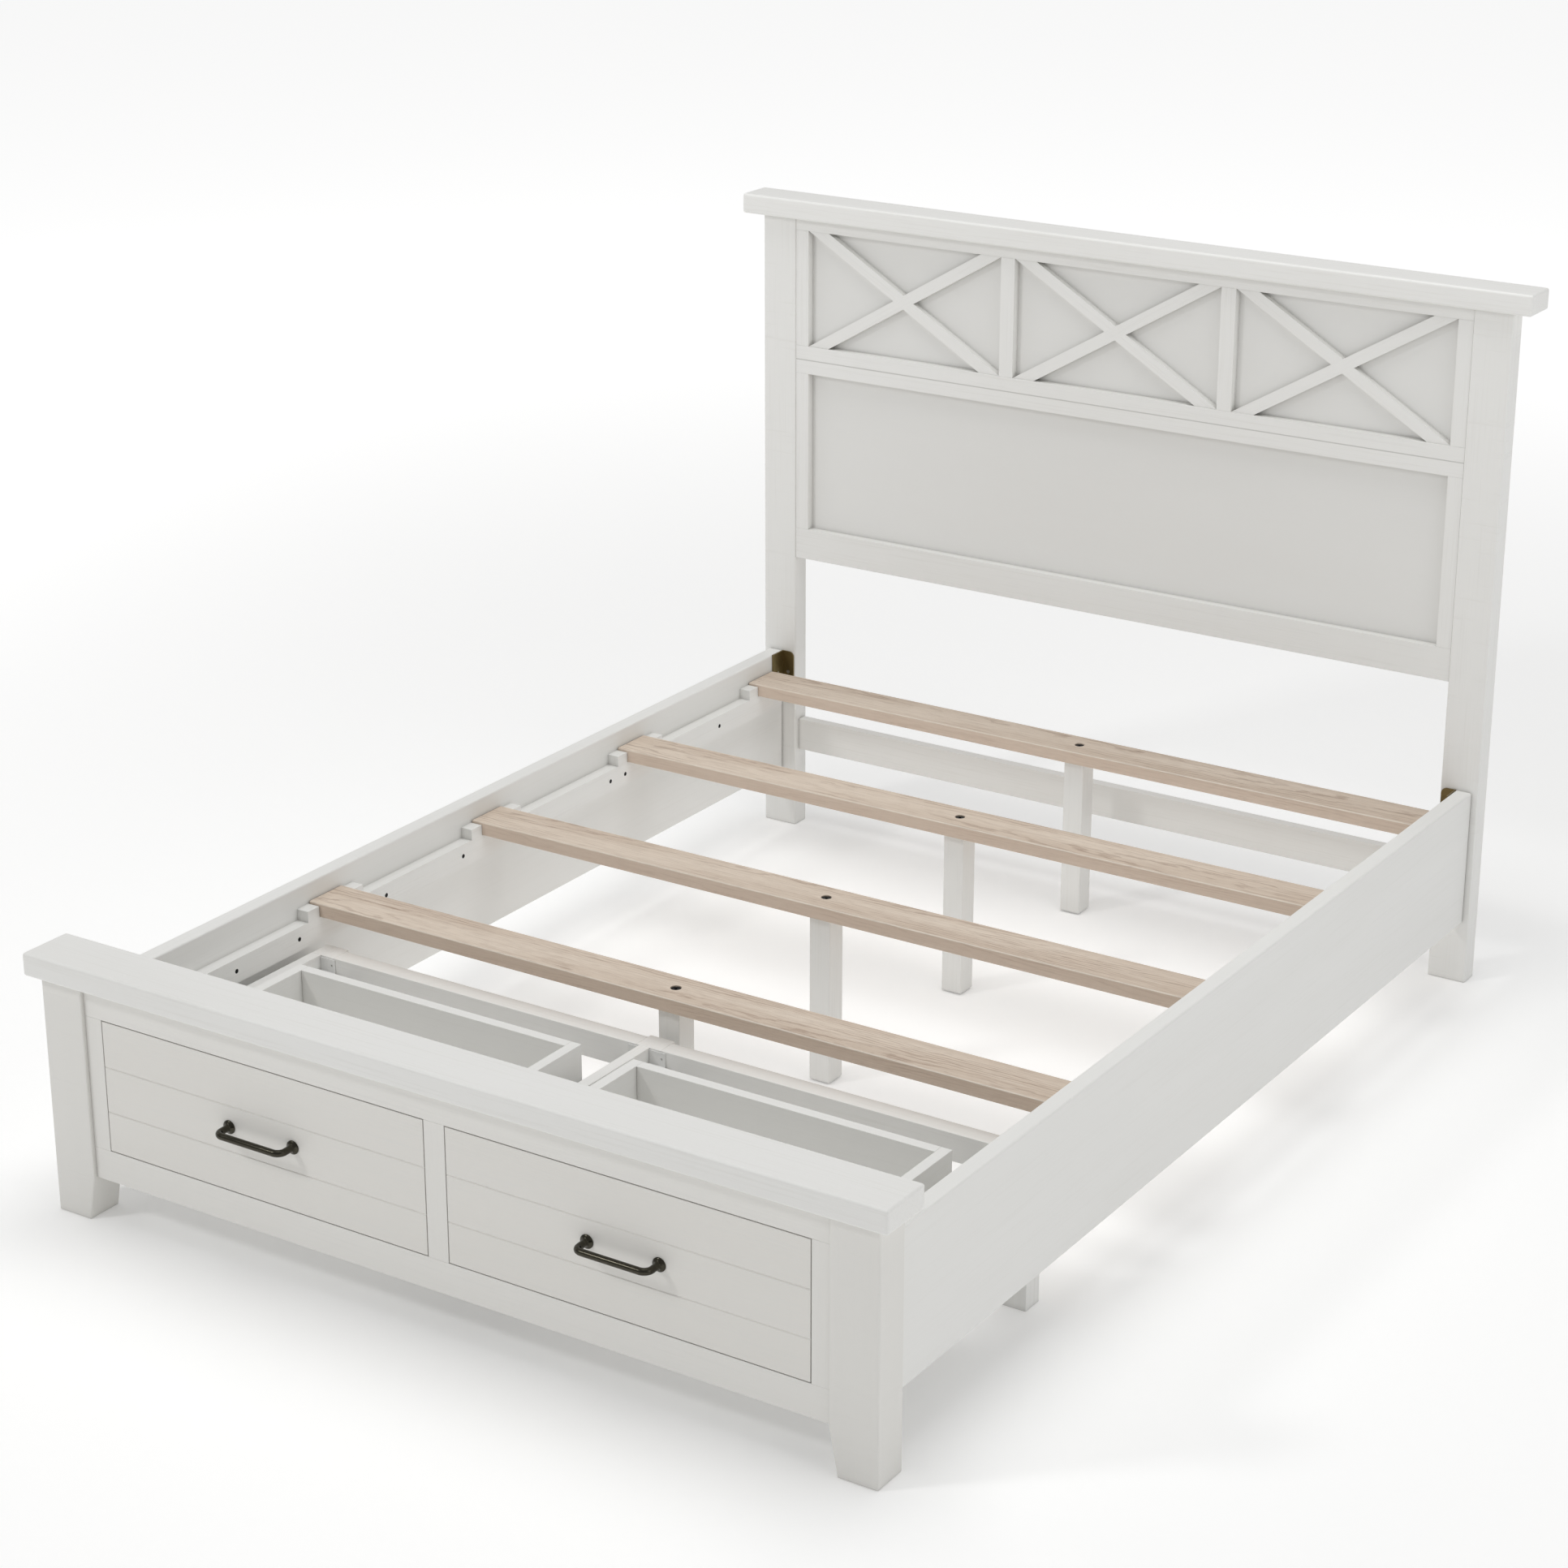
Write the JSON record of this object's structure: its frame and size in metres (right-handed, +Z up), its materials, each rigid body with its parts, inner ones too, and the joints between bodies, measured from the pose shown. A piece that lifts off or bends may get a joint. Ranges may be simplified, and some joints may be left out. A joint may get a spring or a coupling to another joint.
{
  "type": "storage bed frame",
  "caption": "Painted wooden bed frame with an X-braced headboard, side rails and ledgers, loose slats on centre legs, and drawers that slide out of the footboard.",
  "frame": {"origin": "on the floor, at the middle of the bed's outline, handles included", "axes": "+X right seen from the foot end, +Y from foot to head, +Z up"},
  "size_m": [1.704, 2.263, 1.364],
  "materials": {
    "white_painted_wood": "white paint over solid wood, faint brush and saw marks, satin",
    "washed_wood": "washed natural pine, unvarnished",
    "drawer_ply": "white painted plywood",
    "dark_bronze": "dark bronze, satin",
    "antique_brass": "antique brass plating, dull",
    "black_steel": "black oxide steel",
    "white_metal": "white powder coat",
    "slide_steel": "zinc plated steel",
    "glide_plastic": "moulded white nylon"
  },
  "bodies": {
    "bed_frame": {"headboard_left_post": "white_painted_wood", "headboard_right_post": "white_painted_wood", "headboard_cap": "white_painted_wood", "headboard_top_rail": "white_painted_wood", "headboard_upper_mid_rail": "white_painted_wood", "headboard_lower_mid_rail": "white_painted_wood", "headboard_bottom_rail": "white_painted_wood", "headboard_upper_stiles": "white_painted_wood", "headboard_lower_stiles": "white_painted_wood", "headboard_mullions": "white_painted_wood", "headboard_lower_panel": "white_painted_wood", "headboard_upper_panels": "white_painted_wood", "headboard_stretcher": "white_painted_wood", "headboard_rising_braces": "white_painted_wood", "headboard_falling_braces": "white_painted_wood", "footboard_left_post": "white_painted_wood", "footboard_right_post": "white_painted_wood", "footboard_cap": "white_painted_wood", "footboard_top_rail": "white_painted_wood", "footboard_bottom_rail": "white_painted_wood", "footboard_end_stiles": "white_painted_wood", "footboard_centre_stile": "white_painted_wood", "left_side_rail": "white_painted_wood", "right_side_rail": "white_painted_wood", "left_ledger": "white_painted_wood", "right_ledger": "white_painted_wood", "ledger_screws": "black_steel", "bed_rail_brackets": "antique_brass", "bracket_screws": "black_steel", "slat_1": "washed_wood", "slat_2": "washed_wood", "slat_3": "washed_wood", "slat_4": "washed_wood", "slat_legs": "white_painted_wood", "slat_bolts": "black_steel", "leg_glides": "glide_plastic", "support_outer_legs": "white_painted_wood", "support_centre_leg": "white_painted_wood", "support_stretchers": "white_painted_wood", "support_side_runners": "white_painted_wood", "support_centre_runner": "white_painted_wood", "slide_fixed_members": "slide_steel", "slide_battens": "white_painted_wood", "slide_rear_brackets": "white_metal"},
    "left_slide_middle": {"left_slide_middle_members": "slide_steel"},
    "left_drawer": {"left_slide_drawer_members": "slide_steel", "left_drawer_front": "white_painted_wood", "left_drawer_sides": "white_painted_wood", "left_drawer_back": "white_painted_wood", "left_drawer_bottom": "drawer_ply", "left_drawer_handle": "dark_bronze", "left_drawer_handle_screws": "slide_steel"},
    "right_slide_middle": {"right_slide_middle_members": "slide_steel"},
    "right_drawer": {"right_slide_drawer_members": "slide_steel", "right_drawer_front": "white_painted_wood", "right_drawer_sides": "white_painted_wood", "right_drawer_back": "white_painted_wood", "right_drawer_bottom": "drawer_ply", "right_drawer_handle": "dark_bronze", "right_drawer_handle_screws": "slide_steel"}
  },
  "joints": [
    {"name": "left_drawer_slide", "type": "slide", "parent": "bed_frame", "child": "left_drawer", "axis": [0, -1, 0], "range_m": [0, 0.4]},
    {"name": "left_slide_middle_travel", "type": "slide", "parent": "bed_frame", "child": "left_slide_middle", "axis": [0, -1, 0], "range_m": [0, 0.2]},
    {"name": "right_drawer_slide", "type": "slide", "parent": "bed_frame", "child": "right_drawer", "axis": [0, -1, 0], "range_m": [0, 0.4]},
    {"name": "right_slide_middle_travel", "type": "slide", "parent": "bed_frame", "child": "right_slide_middle", "axis": [0, -1, 0], "range_m": [0, 0.2]}
  ],
  "couplings": [
    {"joint": "left_slide_middle_travel", "follows": "left_drawer_slide", "ratio": 0.5},
    {"joint": "right_slide_middle_travel", "follows": "right_drawer_slide", "ratio": 0.5}
  ]
}
